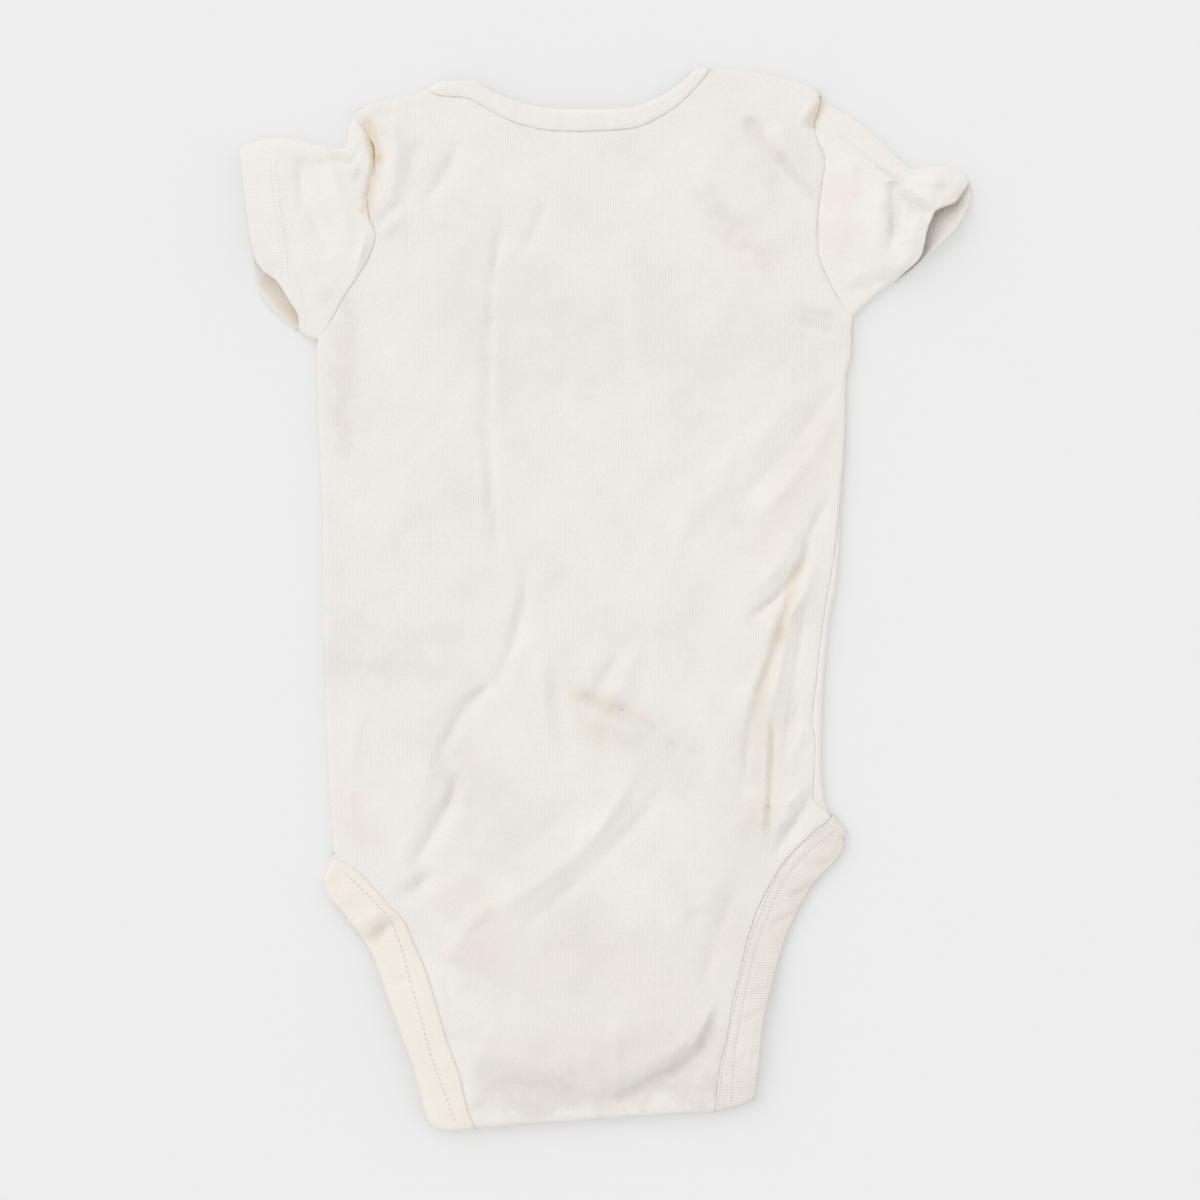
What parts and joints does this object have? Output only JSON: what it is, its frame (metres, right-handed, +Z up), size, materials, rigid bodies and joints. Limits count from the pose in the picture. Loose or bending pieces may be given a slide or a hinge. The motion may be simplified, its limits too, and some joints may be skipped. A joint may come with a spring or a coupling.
{
  "type": "baby onesie",
  "caption": "Infant's short-sleeved rib-knit bodysuit lying flat on its front, with folded lap shoulders, bound neck and leg openings, and a snapped crotch flap.",
  "frame": {"origin": "centre of the garment's box, on the surface that its front lies on", "axes": "+Y from crotch to neck, +Z up from the surface out of the back, +X to the wearer's right as it lies"},
  "size_m": [0.278, 0.4033, 0.0143],
  "materials": {
    "rib_knit": "matt, soft, finely ribbed cotton",
    "binding_knit": "matt, soft, cross-ribbed cotton",
    "snap_enamel": "satin enamel"
  },
  "bodies": {
    "root": {"back_panel": "rib_knit", "front_panel": "rib_knit", "left_sleeve": "rib_knit", "right_sleeve": "rib_knit", "back_neck_binding": "binding_knit", "front_neck_binding": "binding_knit", "left_leg_binding": "binding_knit", "right_leg_binding": "binding_knit", "left_snap": "snap_enamel", "middle_snap": "snap_enamel", "right_snap": "snap_enamel"}
  },
  "joints": []
}
